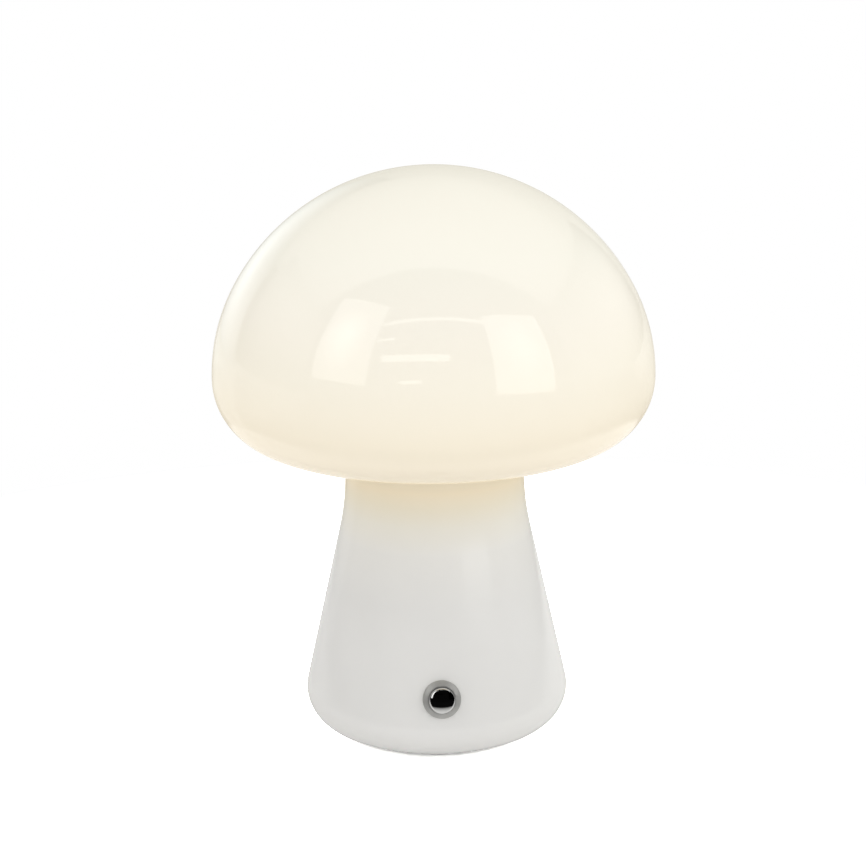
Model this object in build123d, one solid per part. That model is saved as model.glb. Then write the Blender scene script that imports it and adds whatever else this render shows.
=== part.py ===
from build123d import *
from math import acos, atan2, cos, hypot, isclose, pi, radians, sin, sqrt
import os

# Cordless mushroom table lamp: one blown opal glass (cap, neck and flared stem) over a battery base.
# Millimetres, +Z up. The origin is on the table under the lamp's axis; the push button faces -Y.

# ---- Glass, outside ----
CAP_DIAMETER = 180.0
OVERALL_HEIGHT = 235.5
RIM_HEIGHT = 151.3            # of the cap's widest circle
SHOULDER_TURN = 28.0          # degrees that the arc above the widest circle turns, up to the crown's arc
RIM_TURN = 60.0               # degrees that the arc below the widest circle turns
UNDERSIDE_HEIGHT = 121.5
UNDERSIDE_LEVEL_DIAMETER = 114.0  # of the circle where the cap's underside becomes level
UNDERSIDE_FILLET = 8.0        # between the level underside and the neck
NECK_DIAMETER = 73.8
NECK_STRAIGHT = 2.5           # upright length of the neck, below the fillet
NECK_BEND_RADIUS = 110.0      # from the upright neck to the leaning flank
FOOT_DIAMETER = 110.0
FOOT_ROUNDING = 14.4
GLASS_WALL = 3.5
FOOT_OPENING_DIAMETER = 71.0  # ground edge that the base unit plugs

# ---- Base unit ----
PAD_DIAMETER = 7.5
PAD_PROUD = 1.0               # below the chassis
PAD_RECESS = 0.6
PAD_CIRCLE_DIAMETER = 68.0
FLANGE_DIAMETER = 79.0
FLANGE_THICKNESS = 1.2
SEAL_THICKNESS = 0.4
TUB_CLEARANCE = 0.5           # between the tub and the glass
TUB_WALL = 1.8
FLOOR_THICKNESS = 2.4
SEAL_CLEARANCE = 0.2

# ---- Battery bay: three AAA cells side by side along X ----
CELL_DIAMETER = 10.5
CELL_LENGTH = 44.5            # over the positive stud
CELL_COUNT = 3
STUD_DIAMETER = 3.8
STUD_LENGTH = 1.0
CELL_GAP = 0.8
CELL_SIDE_CLEARANCE = 0.6
CELL_DOOR_CLEARANCE = 0.3
CELL_ROOF_CLEARANCE = 0.4
BAY_WALL = 2.4
BAY_ROOF = 1.6
SADDLE_THICKNESS = 1.6
SADDLE_SPACING = 24.0
SADDLE_CLEARANCE = 0.2
SADDLE_RISE = 1.0             # lower edge of a saddle above the cells' axes
CONTACT_THICKNESS = 0.4
CONTACT_WIDTH = 9.0
CONTACT_HEIGHT = 9.0
TAG_WIDTH = 2.4
TAG_INSET = 0.3               # from the contact's inner edge
TAG_RISE = 4.2                # above the bay's roof
TAG_CLEARANCE = 0.2
BATTERY_SPRING_LENGTH = 4.0
BATTERY_SPRING_RADIUS = 2.8   # to the wire's centre
BATTERY_SPRING_WIRE = 0.6
BATTERY_SPRING_TURNS = 3

# ---- Battery door ----
DOOR_THICKNESS = 1.8
DOOR_OVERLAP = 1.4            # of the door over the bay's walls
DOOR_CLEARANCE = 0.25
DOOR_CORNER = 2.0
DOOR_EAR_WIDTH = 8.0
DOOR_EAR_REACH = 6.6          # past the end of the bay's wall
DOOR_GRIP_LENGTH = 12.0
DOOR_GRIP_WIDTH = 1.6
DOOR_GRIP_DEPTH = 0.8

# ---- Chassis cover and circuit board ----
COVER_FLANGE_THICKNESS = 1.8
COVER_EDGE_INSET = 0.5        # of the cover's edge from the tub's
CUP_RADIUS = 29.0
CUP_HEIGHT = 12.6             # above the tub
CUP_WALL = 1.6
CUP_ROUNDING = 1.2
COVER_SCREW_CIRCLE_DIAMETER = 63.6
BOSS_DIAMETER = 6.0
BOSS_SCREW_MARGIN = 1.5       # depth of a pilot hole past its screw
WIRE_HOLE_DIAMETER = 10.0
NOTCH_WIDTH = 7.0
NOTCH_HEIGHT = 9.4            # above the tub
BOARD_LENGTH = 42.0
BOARD_WIDTH = 30.0
BOARD_THICKNESS = 1.6
BOARD_CORNER = 2.0
BOARD_STANDOFF = 2.5
BOARD_SCREW_INSET = 3.0
STANDOFF_DIAMETER = 4.6
CONNECTOR_SIZE = (6.0, 4.2, 4.8)
CONNECTOR_EDGE_INSET = 0.8
CHIP_SIZE = (5.0, 4.0, 1.6)
CHIP_PLACE = (10.5, 2.5)
INDUCTOR_DIAMETER = 6.0
INDUCTOR_HEIGHT = 3.0
INDUCTOR_PLACE = (10.5, -6.5)
CAPACITOR_DIAMETER = 5.0
CAPACITOR_HEIGHT = 5.0
CAPACITOR_PLACES = ((-9.5, 7.8), (-9.5, 1.2))

# ---- Light column ----
POST_TOP = 98.0
POST_RADIUS = 11.0
POST_WALL = 1.6
POST_FOOT_RADIUS = 18.5
POST_FOOT_THICKNESS = 2.0
POST_FOOT_FILLET = 1.5
POST_SCREW_RADIUS = 15.2      # of the circle of screws
POST_SCREW_COUNT = 3
POST_BOSS_DEPTH = 3.0
SINK_THICKNESS = 3.0
SINK_RADIUS = 21.7
SPIGOT_LENGTH = 6.0
SPIGOT_CLEARANCE = 0.05
SPIGOT_BORE_RADIUS = 3.0
LED_BOARD_RADIUS = 20.0
LED_BOARD_THICKNESS = 1.6
LED_COUNT = 12
LED_CIRCLE_RADIUS = 14.0
LED_SIZE = (3.5, 2.8, 0.7)
LED_SCREW_RADIUS = 8.0        # of the two screws from the axis
DIFFUSER_WALL = 1.8
DIFFUSER_CLEARANCE = 0.1
DIFFUSER_SKIRT = 2.4          # below the LED board
DIFFUSER_SIDE = 2.0           # upright wall above the heat sink

# ---- Push-button switch, on an axis square to the leaning stem ----
SWITCH_HEIGHT = 30.0          # of the point where its axis leaves the glass
SWITCH_HOLE_DIAMETER = 12.5
BARREL_DIAMETER = 12.0
BARREL_LENGTH = 9.5           # behind the face of the glass
COLLAR_DIAMETER = 15.3
COLLAR_EDGE = 0.9
COLLAR_HEIGHT = 1.9           # from its seat to its inner rim
COLLAR_INNER_RIM = 0.5        # width of the level rim round the button
COLLAR_EDGE_ROUNDING = 0.3
GASKET_THICKNESS = 0.4        # where it is thinnest
WASHER_DIAMETER = 15.0
WASHER_THICKNESS = 0.9        # on the switch's axis plane
NUT_ACROSS_FLATS = 14.0
NUT_THICKNESS = 2.5
NUT_CLEARANCE = 0.05
BUTTON_DIAMETER = 10.3
BUTTON_CLEARANCE = 0.05
BUTTON_HEIGHT = 6.0           # of its crown in front of the glass
BUTTON_DEPTH = 6.2            # from its crown to its back edge
BUTTON_CROWN_RADIUS = 12.0    # of its domed face
BUTTON_RIM_ROUNDING = 1.1
BUTTON_TRAVEL = 1.5
BUTTON_POCKET_RADIUS = 4.2
BUTTON_POCKET_DEPTH = 1.7
PLUNGER_RADIUS = 2.0
PLUNGER_STOP_GAP = 0.1        # left between plunger and contact block at full travel
LEDGE_DEPTH = 3.0             # of the spring's seat behind the glass face
LEDGE_THICKNESS = 3.0
REAR_BORE_RADIUS = 4.6
RETURN_SPRING_RADIUS = 3.1
RETURN_SPRING_WIRE = 0.5
RETURN_SPRING_TURNS = 4
CIRCLIP_OUTER_RADIUS = 3.6
CIRCLIP_THICKNESS = 0.5
CIRCLIP_OPENING = 2.4
CIRCLIP_GAP = 0.05
CONTACT_BLOCK_DIAMETER = 11.0
CONTACT_BLOCK_LENGTH = 5.5
TERMINAL_SIZE = (2.0, 0.5, 4.0)
TERMINAL_SPACING = 5.0

# ---- Retaining clips: sprung strips that snap in behind the ground edge of the glass ----
CLIP_ANGLES = (90.0, 200.0, 340.0)
CLIP_WIDTH = 8.0
CLIP_THICKNESS = 0.4
CLIP_ROOT = 5.0               # length of the flat root
CLIP_KNEE_REACH = 3.2         # of the knee from the tub
CLIP_KNEE_RISE = 1.4          # of the knee above the glass
CLIP_TIP_REACH = 1.2
CLIP_TIP_CLEARANCE = 0.05
CLIP_BEND_RADIUS = 0.8

# ---- Screws and wires ----
SCREW_CLEARANCE = 0.05
HEAD_RADIUS_RATIO = 0.95      # of a pan head, to the screw's diameter
HEAD_HEIGHT_RATIO = 0.6
RECESS_LENGTH_RATIO = 1.1
RECESS_WIDTH_RATIO = 0.25
RECESS_DEPTH_RATIO = 0.35
COVER_SCREW = (2.5, 7.0)      # diameter and length under the head
DOOR_SCREW = (2.0, 7.0)
POST_SCREW = (2.5, 4.0)
BOARD_SCREW = (2.0, 4.0)
LED_SCREW = (2.0, 4.0)
CLIP_SCREW = (2.0, 3.0)
WIRE_DIAMETER = 1.2
WIRE_PITCH = 2.54
WIRE_BEND = 1.3
LED_WIRE_LOOP = 2.2           # height of the leads' loop over the LED board
LED_PAD_RADIUS = 5.8
BATTERY_WIRE_LOOP = 2.6       # height of a lead's loop over the circuit board
BATTERY_WIRE_STAND = 1.6      # of a lead's upright run from its tag
BATTERY_PAD_INSET = 2.4
SWITCH_WIRE_LEAD = 2.6        # straight run out of a terminal
SWITCH_WIRE_BEND = 2.5


def cross_tangent_lean(low, high, both_radii):
    """Angle from upright of the line that passes between two circles and touches both."""
    across, up = high[0] - low[0], high[1] - low[1]
    return atan2(up, across) - acos(both_radii / hypot(across, up))


# ---- Heights and radii that follow ----
CAP_RADIUS = CAP_DIAMETER / 2
NECK_RADIUS = NECK_DIAMETER / 2
FOOT_RADIUS = FOOT_DIAMETER / 2
OPENING_RADIUS = FOOT_OPENING_DIAMETER / 2
UNDERSIDE = PAD_PROUD                                     # of the chassis
FLANGE_TOP = UNDERSIDE + FLANGE_THICKNESS
GLASS_LIP = FLANGE_TOP + SEAL_THICKNESS
GLASS_FLOOR = GLASS_LIP + GLASS_WALL
FOOT_CENTRE = (FOOT_RADIUS - FOOT_ROUNDING, GLASS_LIP + FOOT_ROUNDING)
BEND_CENTRE = (NECK_RADIUS + NECK_BEND_RADIUS, UNDERSIDE_HEIGHT - UNDERSIDE_FILLET - NECK_STRAIGHT)
LEAN = cross_tangent_lean(FOOT_CENTRE, BEND_CENTRE, FOOT_ROUNDING + NECK_BEND_RADIUS)
FLOOR_TOP = UNDERSIDE + FLOOR_THICKNESS
TUB_RADIUS = OPENING_RADIUS - TUB_CLEARANCE
DOOR_TOP = UNDERSIDE + DOOR_THICKNESS
CELL_AXIS = DOOR_TOP + CELL_DOOR_CLEARANCE + CELL_DIAMETER / 2
CELL_PITCH = CELL_DIAMETER + CELL_GAP
BAY_TOP = CELL_AXIS + CELL_DIAMETER / 2 + CELL_ROOF_CLEARANCE
TUB_TOP = BAY_TOP + BAY_ROOF
BAY_LENGTH = CELL_LENGTH + BATTERY_SPRING_LENGTH + 2 * CONTACT_THICKNESS
BAY_WIDTH = CELL_COUNT * CELL_DIAMETER + (CELL_COUNT - 1) * CELL_GAP + 2 * CELL_SIDE_CLEARANCE
DOOR_LENGTH = BAY_LENGTH + 2 * DOOR_OVERLAP
DOOR_WIDTH = BAY_WIDTH + 2 * DOOR_OVERLAP
DOOR_EAR_END = BAY_LENGTH / 2 + BAY_WALL + DOOR_EAR_REACH - DOOR_EAR_WIDTH / 2
DOOR_SCREW_PLACE = DOOR_EAR_END
COVER_TOP = TUB_TOP + CUP_HEIGHT
BOARD_BOTTOM = TUB_TOP + BOARD_STANDOFF
BOARD_TOP = BOARD_BOTTOM + BOARD_THICKNESS
SINK_TOP = POST_TOP + SINK_THICKNESS
LED_BOARD_TOP = SINK_TOP + LED_BOARD_THICKNESS
BUTTON_RADIUS = BUTTON_DIAMETER / 2
BORE_RADIUS = BUTTON_RADIUS + BUTTON_CLEARANCE
BARREL_END = -BARREL_LENGTH
PLUNGER_TIP = BARREL_END + BUTTON_TRAVEL + PLUNGER_STOP_GAP

UP = (Align.CENTER, Align.CENTER, Align.MIN)
DOWN = (Align.CENTER, Align.CENTER, Align.MAX)


# ---- Small helpers ----

def disc(radius, bottom, height):
    """Upright cylinder on the lamp's axis."""
    return Pos(0, 0, bottom) * Cylinder(radius, height, align=UP)


def tube(outer, inner, bottom, height):
    return disc(outer, bottom, height) - disc(inner, bottom, height)


def slab(length, width, bottom, height):
    """Upright box on the lamp's axis."""
    return Pos(0, 0, bottom) * Box(length, width, height, align=UP)


def rounded_slab(length, width, corner, bottom, height):
    return Pos(0, 0, bottom) * extrude(RectangleRounded(length, width, corner), height)


def corners(x, y):
    """The four places at plus and minus x and y."""
    return [(side * x, end * y) for side in (-1, 1) for end in (-1, 1)]


def at_places(places, height, shape):
    return [Pos(x, y, height) * shape for x, y in places]


def circle_edges(shape, radius, height):
    """Level circular edges of one radius at one height."""
    circles = shape.edges().filter_by(GeomType.CIRCLE)
    return circles.filter_by(lambda e: isclose(e.radius, radius) and isclose(e.center().Z, height))


def pan_screw(size):
    """Pan-head screw hanging from the plane of its seat, with a cross recess in its head."""
    diameter, length = size
    head = Cylinder(HEAD_RADIUS_RATIO * diameter, HEAD_HEIGHT_RATIO * diameter, align=UP)
    slot = Box(RECESS_LENGTH_RATIO * diameter, RECESS_WIDTH_RATIO * diameter,
               RECESS_DEPTH_RATIO * diameter, align=DOWN)
    recess = Pos(0, 0, HEAD_HEIGHT_RATIO * diameter) * (slot + Rot(0, 0, 90) * slot)
    return head - recess + Cylinder(diameter / 2, length, align=DOWN)


def pilot(size, extra=0.0):
    """Hole for a screw, running extra past its tip."""
    diameter, length = size
    return Cylinder(diameter / 2 + SCREW_CLEARANCE, length + extra, align=DOWN)


def wire(points, bend):
    """Round lead along straight runs joined by tangent arcs."""
    path = FilletPolyline(*points, radius=bend)
    section = Plane(origin=path @ 0, z_dir=path % 0) * Circle(WIRE_DIAMETER / 2)
    return sweep(section, path=path)


def coil(radius, wire_diameter, length, turns):
    """Compression spring on Z from z = 0 to its length, as biarcs of a quarter turn."""
    rise = length - wire_diameter
    quarters = 4 * turns

    def point(k):
        angle = k * pi / 2
        return Vector(radius * cos(angle), radius * sin(angle), wire_diameter / 2 + rise * k / quarters)

    def heading(k):
        angle = k * pi / 2
        return Vector(-radius * sin(angle), radius * cos(angle), rise / (2 * pi * turns)).normalized()

    edges = []
    for k in range(quarters):
        start, end, way_in, way_out = point(k), point(k + 1), heading(k), heading(k + 1)
        chord, both = end - start, way_in + way_out
        spread = 2 * (1 - way_in.dot(way_out))
        reach = (-chord.dot(both) + sqrt(chord.dot(both) ** 2 + spread * chord.dot(chord))) / spread
        middle = (start + end + (way_in - way_out) * reach) / 2
        first = TangentArc(start, middle, tangent=way_in)
        edges += [first, TangentArc(middle, end, tangent=first % 1)]
    path = Wire(edges)
    return sweep(Plane(origin=path @ 0, z_dir=path % 0) * Circle(wire_diameter / 2), path=path)


# ---- Glass ----

def arc(centre, radius, start, end):
    """Arc in the XZ half-plane, between two angles in radians."""
    angles = (start, (start + end) / 2, end)
    return ThreePointArc(*[(centre[0] + radius * cos(a), 0, centre[1] + radius * sin(a)) for a in angles])


def quarter_radii(reach, rise, turn):
    """Radii of two tangent arcs from upright to level, of which the first turns by the given angle."""
    whole = sin(turn) + cos(turn) - 1
    first = (rise * cos(turn) - reach * (1 - sin(turn))) / whole
    second = (reach * sin(turn) - rise * (1 - cos(turn))) / whole
    return first, second


def glass_curve(inset):
    """Tangent arcs from the crown down to the foot, inset by an even depth from the outside."""
    shoulder_turn, rim_turn = radians(SHOULDER_TURN), radians(RIM_TURN)
    level_radius = UNDERSIDE_LEVEL_DIAMETER / 2
    shoulder, crown = quarter_radii(CAP_RADIUS, OVERALL_HEIGHT - RIM_HEIGHT, shoulder_turn)
    rim, under = quarter_radii(CAP_RADIUS - level_radius, RIM_HEIGHT - UNDERSIDE_HEIGHT, rim_turn)
    fillet_centre = (NECK_RADIUS + UNDERSIDE_FILLET, UNDERSIDE_HEIGHT - UNDERSIDE_FILLET)

    edges = [
        arc((0.0, OVERALL_HEIGHT - crown), crown - inset, pi / 2, shoulder_turn),
        arc((CAP_RADIUS - shoulder, RIM_HEIGHT), shoulder - inset, shoulder_turn, 0),
        arc((CAP_RADIUS - rim, RIM_HEIGHT), rim - inset, 0, -rim_turn),
        arc((level_radius, UNDERSIDE_HEIGHT + under), under - inset, -rim_turn, -pi / 2),
    ]
    after_straights = [
        arc(fillet_centre, UNDERSIDE_FILLET + inset, pi / 2, pi),
        arc(BEND_CENTRE, NECK_BEND_RADIUS + inset, pi, pi + LEAN),
        arc(FOOT_CENTRE, FOOT_ROUNDING - inset, LEAN, -pi / 2),
    ]
    for following in after_straights:
        edges += [Line(edges[-1] @ 1, following @ 0), following]
    return edges


def stem_radius(height):
    """Outside radius of the leaning flank at a height."""
    flank = FOOT_CENTRE[0] * cos(LEAN) + FOOT_CENTRE[1] * sin(LEAN) + FOOT_ROUNDING
    return (flank - height * sin(LEAN)) / cos(LEAN)


def glass_shell():
    """The blown wall, before its switch hole is drilled."""
    outside, inside = glass_curve(0), glass_curve(GLASS_WALL)
    lip = [outside[-1] @ 1, (OPENING_RADIUS, 0, GLASS_LIP), (OPENING_RADIUS, 0, GLASS_FLOOR), inside[-1] @ 1]
    edges = outside + [Line(a, b) for a, b in zip(lip, lip[1:])] + inside
    edges.append(Line(inside[0] @ 0, outside[0] @ 0))
    return revolve(make_face(edges), Axis.Z)


# Frame of the switch: origin on the outside of the glass, local Z out along the button's axis.
SWITCH_FRAME = Location(Plane(origin=(0, -stem_radius(SWITCH_HEIGHT), SWITCH_HEIGHT), x_dir=(1, 0, 0),
                              z_dir=(0, -cos(LEAN), sin(LEAN))))


def glass_body(shell):
    hole = Cylinder(SWITCH_HOLE_DIAMETER / 2, 4 * GLASS_WALL)
    return shell - SWITCH_FRAME * hole


# ---- Base unit ----

def cover_screw_places():
    reach = COVER_SCREW_CIRCLE_DIAMETER / 2 * cos(pi / 4)
    return corners(reach, reach)


def board_screw_places():
    return corners(BOARD_LENGTH / 2 - BOARD_SCREW_INSET, BOARD_WIDTH / 2 - BOARD_SCREW_INSET)


def door_screw_places():
    return [(-DOOR_SCREW_PLACE, 0), (DOOR_SCREW_PLACE, 0)]


def pad_places():
    reach = PAD_CIRCLE_DIAMETER / 2 * cos(pi / 4)
    return corners(reach, reach)


def cell_rows():
    """Y of each cell, and the end (-1 or 1) of the bay where its spring sits."""
    first = -(CELL_COUNT - 1) / 2 * CELL_PITCH
    return [(first + k * CELL_PITCH, -1 if k % 2 == 0 else 1) for k in range(CELL_COUNT)]


def door_outline(growth):
    """Door plate with an ear for a screw at each end, grown evenly."""
    plate = RectangleRounded(DOOR_LENGTH + 2 * growth, DOOR_WIDTH + 2 * growth, DOOR_CORNER)
    ears = SlotCenterToCenter(2 * DOOR_EAR_END, DOOR_EAR_WIDTH + 2 * growth)
    return plate + ears


def saddles():
    """Ribs under the bay's roof, cut to the cells."""
    bottom = CELL_AXIS + SADDLE_RISE
    rib = slab(SADDLE_THICKNESS, BAY_WIDTH, bottom, BAY_TOP - bottom)
    for y, _ in cell_rows():
        rib -= Pos(0, y, CELL_AXIS) * Rot(0, 90, 0) * Cylinder(CELL_DIAMETER / 2 + SADDLE_CLEARANCE,
                                                              BAY_LENGTH)
    return [Pos(side * SADDLE_SPACING / 2, 0, 0) * rib for side in (-1, 1)]


def tag_place(end):
    """Centre in plan of the solder tag of the end contact at end -1 or 1."""
    row = end * (CELL_COUNT - 1) / 2 * CELL_PITCH
    inner_edge = row - end * CONTACT_WIDTH / 2
    return end * (BAY_LENGTH - CONTACT_THICKNESS) / 2, inner_edge + end * (TAG_INSET + TAG_WIDTH / 2)


def base_chassis():
    """Moulded tub: flange, wall, battery bay open below, bosses and standoffs."""
    shape = disc(TUB_RADIUS, UNDERSIDE, TUB_TOP - UNDERSIDE)
    shape -= disc(TUB_RADIUS - TUB_WALL, FLOOR_TOP, TUB_TOP - FLOOR_TOP)
    shape += disc(FLANGE_DIAMETER / 2, UNDERSIDE, FLANGE_THICKNESS)
    shape += slab(BAY_LENGTH + 2 * BAY_WALL, BAY_WIDTH + 2 * BAY_WALL, UNDERSIDE, TUB_TOP - UNDERSIDE)
    tower = Cylinder(BOSS_DIAMETER / 2, TUB_TOP - UNDERSIDE, align=UP)
    standoff = Cylinder(STANDOFF_DIAMETER / 2, BOARD_STANDOFF, align=UP)
    shape += at_places(cover_screw_places() + door_screw_places(), UNDERSIDE, tower)
    shape += at_places(board_screw_places(), TUB_TOP, standoff)

    shape -= slab(BAY_LENGTH, BAY_WIDTH, UNDERSIDE, BAY_TOP - UNDERSIDE)
    shape -= Pos(0, 0, UNDERSIDE) * extrude(door_outline(DOOR_CLEARANCE), DOOR_THICKNESS)
    shape += saddles()
    pad_hole = Cylinder(PAD_DIAMETER / 2, PAD_RECESS, align=UP)
    shape -= at_places(pad_places(), UNDERSIDE, pad_hole)
    shape -= at_places(cover_screw_places(), TUB_TOP,
                       pilot(COVER_SCREW, BOSS_SCREW_MARGIN - COVER_FLANGE_THICKNESS))
    shape -= at_places(board_screw_places(), BOARD_BOTTOM,
                       pilot(BOARD_SCREW, -BOARD_THICKNESS + SCREW_CLEARANCE))
    door_pilot = Rot(180, 0, 0) * pilot(DOOR_SCREW, BOSS_SCREW_MARGIN)
    shape -= at_places(door_screw_places(), UNDERSIDE, door_pilot)
    for end in (-1, 1):
        x, y = tag_place(end)
        shape -= Pos(x, y, BAY_TOP) * Box(CONTACT_THICKNESS + 2 * TAG_CLEARANCE,
                                          TAG_WIDTH + 2 * TAG_CLEARANCE, BAY_ROOF, align=UP)
    for angle in CLIP_ANGLES:
        shape -= clip_frame(angle) * pilot(CLIP_SCREW, BOSS_SCREW_MARGIN - CLIP_THICKNESS)
    return shape


def seal_ring():
    return tube(FLANGE_DIAMETER / 2, TUB_RADIUS + SEAL_CLEARANCE, FLANGE_TOP, SEAL_THICKNESS)


def foot_pads():
    return at_places(pad_places(), 0, Cylinder(PAD_DIAMETER / 2, PAD_PROUD + PAD_RECESS, align=UP))


def battery_door():
    """Flat door let into the underside, with finger grooves and sunk seats for its screws."""
    shape = Pos(0, 0, UNDERSIDE) * extrude(door_outline(0), DOOR_THICKNESS)
    shape -= at_places(door_screw_places(), DOOR_TOP, pilot((DOOR_SCREW[0], DOOR_THICKNESS)))
    seat = Cylinder(HEAD_RADIUS_RATIO * DOOR_SCREW[0] + DOOR_CLEARANCE, door_seat_depth(), align=UP)
    shape -= at_places(door_screw_places(), UNDERSIDE, seat)
    for side in (-1, 1):
        groove = Box(DOOR_GRIP_LENGTH, DOOR_GRIP_WIDTH, DOOR_GRIP_DEPTH, align=UP)
        shape -= Pos(0, side * (DOOR_WIDTH / 2 - 2 * DOOR_GRIP_WIDTH), UNDERSIDE) * groove
    return shape


def door_seat_depth():
    """The screws' heads lie flush with the underside."""
    return HEAD_HEIGHT_RATIO * DOOR_SCREW[0]


def door_screws():
    screw = Rot(180, 0, 0) * pan_screw(DOOR_SCREW)
    return at_places(door_screw_places(), UNDERSIDE + door_seat_depth(), screw)


# ---- Retaining clips ----

def clip_frame(angle):
    """Seat of a clip's screw on the clip: local Z points out of the tub."""
    height = TUB_TOP - CLIP_ROOT / 2
    seat = Pos(TUB_RADIUS + CLIP_THICKNESS, 0, height) * Rot(0, 90, 0)
    return Rot(0, 0, angle) * seat


def retaining_clip():
    """Strip rooted on the tub's wall that slopes out to a knee and back in over the ground edge."""
    root = TUB_RADIUS + CLIP_THICKNESS / 2
    knee = GLASS_FLOOR + CLIP_KNEE_RISE
    tip = GLASS_FLOOR + CLIP_THICKNESS / 2 + CLIP_TIP_CLEARANCE
    points = [(root, 0, TUB_TOP), (root, 0, TUB_TOP - CLIP_ROOT), (TUB_RADIUS + CLIP_KNEE_REACH, 0, knee),
              (TUB_RADIUS + CLIP_TIP_REACH, 0, tip)]
    path = FilletPolyline(*points, radius=CLIP_BEND_RADIUS)
    section = Plane(origin=path @ 0, x_dir=(0, 1, 0), z_dir=path % 0) * Rectangle(CLIP_WIDTH, CLIP_THICKNESS)
    return sweep(section, path=path) - clip_frame(0) * pilot(CLIP_SCREW)


# ---- Battery and contacts ----

def battery_cell(end):
    """Cell along X whose flat end faces the spring at end -1 or 1."""
    can_length = CELL_LENGTH - STUD_LENGTH
    can = Cylinder(CELL_DIAMETER / 2, can_length, align=UP)
    cell = can + Pos(0, 0, can_length) * Cylinder(STUD_DIAMETER / 2, STUD_LENGTH, align=UP)
    flat_end = end * (CELL_LENGTH - BATTERY_SPRING_LENGTH) / 2
    return Pos(flat_end, 0, CELL_AXIS) * Rot(0, -90 * end, 0) * cell


def battery_spring(end):
    inner_face = end * (BAY_LENGTH / 2 - CONTACT_THICKNESS)
    spring = coil(BATTERY_SPRING_RADIUS, BATTERY_SPRING_WIRE, BATTERY_SPRING_LENGTH, BATTERY_SPRING_TURNS)
    return Pos(inner_face, 0, CELL_AXIS) * Rot(0, -90 * end, 0) * spring


def contact_plate(end, first, last):
    """Flat contact at one end of the bay that spans the cells of rows first to last."""
    width = (last - first) * CELL_PITCH + CONTACT_WIDTH
    middle = ((first + last) / 2 - (CELL_COUNT - 1) / 2) * CELL_PITCH
    x = end * (BAY_LENGTH - CONTACT_THICKNESS) / 2
    return Pos(x, middle, CELL_AXIS) * Box(CONTACT_THICKNESS, width, CONTACT_HEIGHT)


def end_contact(end):
    """Contact of the battery's first or last pole, with its solder tag up through the roof."""
    row = 0 if end < 0 else CELL_COUNT - 1
    x, y = tag_place(end)
    tag = Pos(x, y, CELL_AXIS) * Box(CONTACT_THICKNESS, TAG_WIDTH, TUB_TOP + TAG_RISE - CELL_AXIS, align=UP)
    return contact_plate(end, row, row) + tag


# ---- Circuit board ----

def control_board():
    board = rounded_slab(BOARD_LENGTH, BOARD_WIDTH, BOARD_CORNER, BOARD_BOTTOM, BOARD_THICKNESS)
    return board - at_places(board_screw_places(), BOARD_TOP, pilot((BOARD_SCREW[0], BOARD_THICKNESS)))


def on_board(shape, place=(0, 0)):
    return Pos(place[0], place[1], BOARD_TOP) * shape


def connector():
    return Box(*CONNECTOR_SIZE, align=UP)


def switch_connector_place():
    return 0, -BOARD_WIDTH / 2 + CONNECTOR_EDGE_INSET + CONNECTOR_SIZE[1] / 2


# ---- Cover ----

def post_screw_places():
    turns = [pi / 2 + 2 * pi * k / POST_SCREW_COUNT for k in range(POST_SCREW_COUNT)]
    return [(POST_SCREW_RADIUS * cos(a), POST_SCREW_RADIUS * sin(a)) for a in turns]


def chassis_cover():
    """Lid over the circuit board: flat edge on the tub, round cup, bosses for the post."""
    cup = disc(CUP_RADIUS, TUB_TOP, CUP_HEIGHT)
    cup = fillet(cup.edges().group_by(Axis.Z)[-1], CUP_ROUNDING)
    shape = disc(TUB_RADIUS - COVER_EDGE_INSET, TUB_TOP, COVER_FLANGE_THICKNESS) + cup
    shape -= disc(CUP_RADIUS - CUP_WALL, TUB_TOP, CUP_HEIGHT - CUP_WALL)
    boss = Cylinder(BOSS_DIAMETER / 2, POST_BOSS_DEPTH + CUP_WALL, align=DOWN)
    shape += at_places(post_screw_places(), COVER_TOP, boss)
    shape -= at_places(post_screw_places(), COVER_TOP,
                       pilot(POST_SCREW, BOSS_SCREW_MARGIN - POST_FOOT_THICKNESS))
    shape -= disc(WIRE_HOLE_DIAMETER / 2, TUB_TOP, CUP_HEIGHT)
    shape -= at_places(cover_screw_places(), TUB_TOP + COVER_FLANGE_THICKNESS,
                       pilot((COVER_SCREW[0], COVER_FLANGE_THICKNESS)))
    notch = Box(NOTCH_WIDTH, 2 * CUP_WALL, NOTCH_HEIGHT - COVER_FLANGE_THICKNESS, align=UP)
    return shape - Pos(0, CUP_WALL / 2 - CUP_RADIUS, TUB_TOP + COVER_FLANGE_THICKNESS) * notch


# ---- Light column ----

def led_post():
    """Tube with a screwed foot that carries the LEDs up into the neck."""
    foot = disc(POST_FOOT_RADIUS, COVER_TOP, POST_FOOT_THICKNESS)
    stem = disc(POST_RADIUS, COVER_TOP, POST_TOP - COVER_TOP)
    shape = foot + stem
    shape = fillet(circle_edges(shape, POST_RADIUS, COVER_TOP + POST_FOOT_THICKNESS), POST_FOOT_FILLET)
    shape -= disc(POST_RADIUS - POST_WALL, COVER_TOP, POST_TOP - COVER_TOP)
    return shape - at_places(post_screw_places(), COVER_TOP + POST_FOOT_THICKNESS,
                             pilot((POST_SCREW[0], POST_FOOT_THICKNESS)))


def led_screw_places():
    return [(0, -LED_SCREW_RADIUS), (0, LED_SCREW_RADIUS)]


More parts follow.
